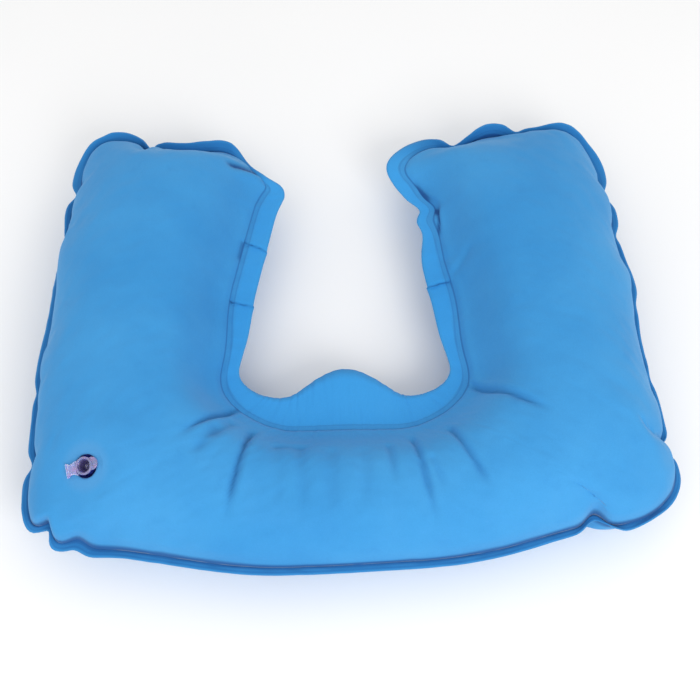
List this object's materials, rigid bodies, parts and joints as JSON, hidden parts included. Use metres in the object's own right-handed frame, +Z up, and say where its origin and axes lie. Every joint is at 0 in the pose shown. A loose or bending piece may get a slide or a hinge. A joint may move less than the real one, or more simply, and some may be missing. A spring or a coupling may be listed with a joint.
{
  "type": "inflatable face cradle cushion",
  "caption": "Inflatable U-shaped face cushion of flocked film with welded margins, an open face space between its arms and a push-in air valve with a strapped stopper.",
  "frame": {"origin": "on the surface that the cushion lies on, under the centre of its outline", "axes": "+Z up through the cushion, +Y towards the ends of the arms, +X to the right seen from the front bar"},
  "size_m": [0.388, 0.322, 0.076],
  "materials": {
    "flocked_film": "matt flocked PVC film",
    "clear_pvc": "soft translucent PVC"
  },
  "bodies": {
    "cushion": {"upper_film": "flocked_film", "lower_film": "flocked_film", "valve_base": "clear_pvc", "valve_web": "clear_pvc"},
    "valve": {"valve_stem": "clear_pvc", "strap_root": "clear_pvc"},
    "plug": {"stopper": "clear_pvc", "strap": "clear_pvc"},
    "flap": {"check_flap": "clear_pvc"}
  },
  "joints": [
    {"name": "valve_lift", "type": "slide", "parent": "cushion", "child": "valve", "axis": [-0.3271, -0.292, 0.8987], "range_m": [0, 0.0095], "deforming": ["valve_web"]},
    {"name": "plug_flip", "type": "hinge", "parent": "valve", "child": "plug", "pos_m": [-0.15842, -0.10668, 0.06328], "axis": [0.2134, -0.9493, -0.2308], "range_deg": [0, 150]},
    {"name": "flap_open", "type": "hinge", "parent": "valve", "child": "flap", "pos_m": [-0.14886, -0.10224, 0.05386], "axis": [-0.2134, 0.9493, 0.2308], "range_deg": [0, 50], "stiffness_Nm_per_rad": 0.00002, "springref_deg": -28.65}
  ]
}
